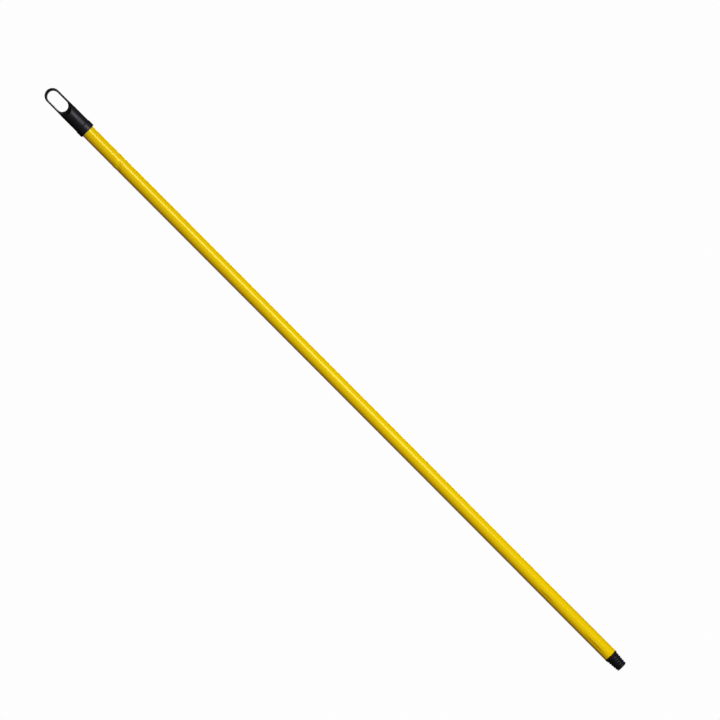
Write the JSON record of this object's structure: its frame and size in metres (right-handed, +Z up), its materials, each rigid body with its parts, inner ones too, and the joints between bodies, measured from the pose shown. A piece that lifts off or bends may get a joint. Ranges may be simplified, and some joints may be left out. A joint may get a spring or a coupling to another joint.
{
  "type": "broom handle",
  "caption": "Straight coated steel tube handle with a slotted hanging cap at one end and a tapered coarse-thread screw tip at the other.",
  "frame": {"origin": "centre of the screw tip's flat end face", "axes": "+Z up the handle from the screw tip to the hanging cap; the hanging slot goes through the cap along Y; X is across the slot"},
  "size_m": [0.026, 0.026, 1.22],
  "materials": {
    "steel": "bare roll-formed steel, satin",
    "yellow_film": "glossy yellow shrunk film",
    "black_plastic": "moulded, satin black"
  },
  "bodies": {
    "root": {"steel_tube": "steel", "yellow_sleeve": "yellow_film", "hanging_cap": "black_plastic", "threaded_tip": "black_plastic"}
  },
  "joints": []
}
